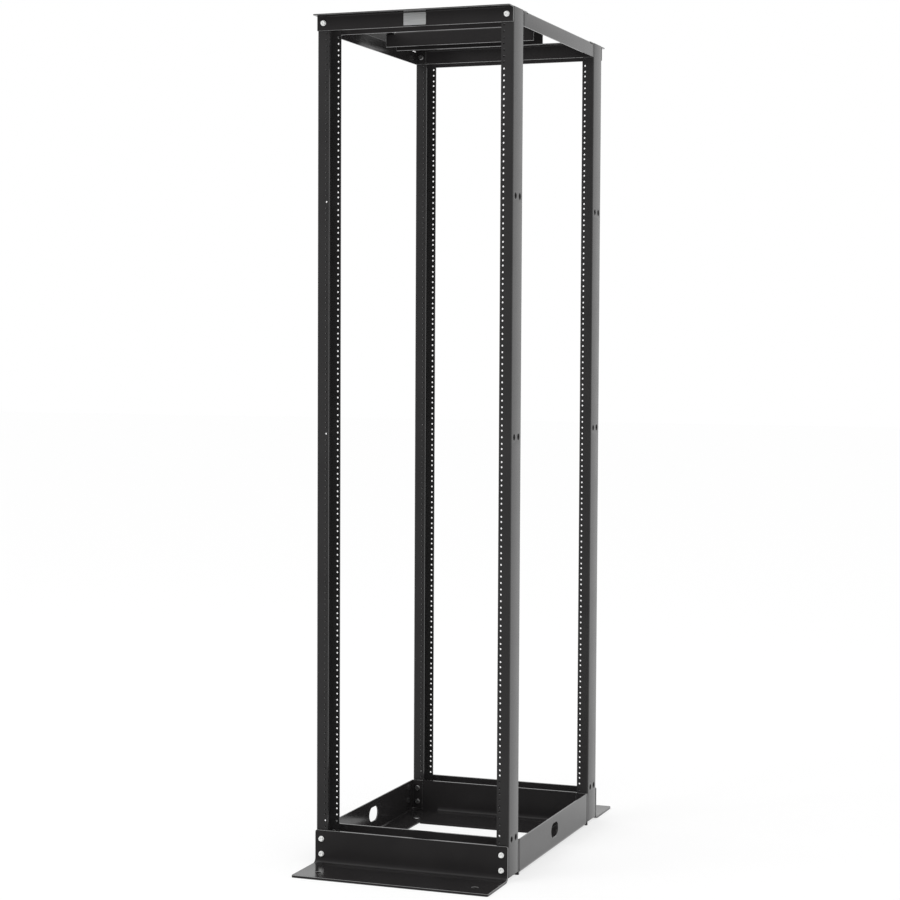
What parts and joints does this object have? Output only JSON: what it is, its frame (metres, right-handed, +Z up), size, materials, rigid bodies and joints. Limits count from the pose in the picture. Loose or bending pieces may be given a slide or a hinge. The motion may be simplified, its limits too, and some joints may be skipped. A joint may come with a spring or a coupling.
{
  "type": "four post open frame rack",
  "caption": "Open steel equipment frame: folded channel posts with rows of tapped holes, standing on angles with flat feet and tied by side rails, top angles and a cross bar.",
  "frame": {"origin": "on the floor at the middle of the rack, halfway between the left and right sides and between the front and rear feet", "axes": "+Z is up, -Y faces the front, which has the label plate, and +X is to the right as one faces the front from outside looking along +Y"},
  "size_m": [0.5144, 1.0542, 2.1288],
  "materials": {
    "powder_coat": "gloss"
  },
  "bodies": {
    "root": {"front_left_post": "powder_coat", "rear_left_post": "powder_coat", "left_base_rail": "powder_coat", "left_top_rail": "powder_coat", "front_right_post": "powder_coat", "rear_right_post": "powder_coat", "right_base_rail": "powder_coat", "right_top_rail": "powder_coat", "front_base_angle": "powder_coat", "front_inner_base_angle": "powder_coat", "front_top_angle": "powder_coat", "front_inner_top_angle": "powder_coat", "rear_base_angle": "powder_coat", "rear_inner_base_angle": "powder_coat", "rear_top_angle": "powder_coat", "rear_inner_top_angle": "powder_coat", "top_cross_bar": "powder_coat"}
  },
  "joints": []
}
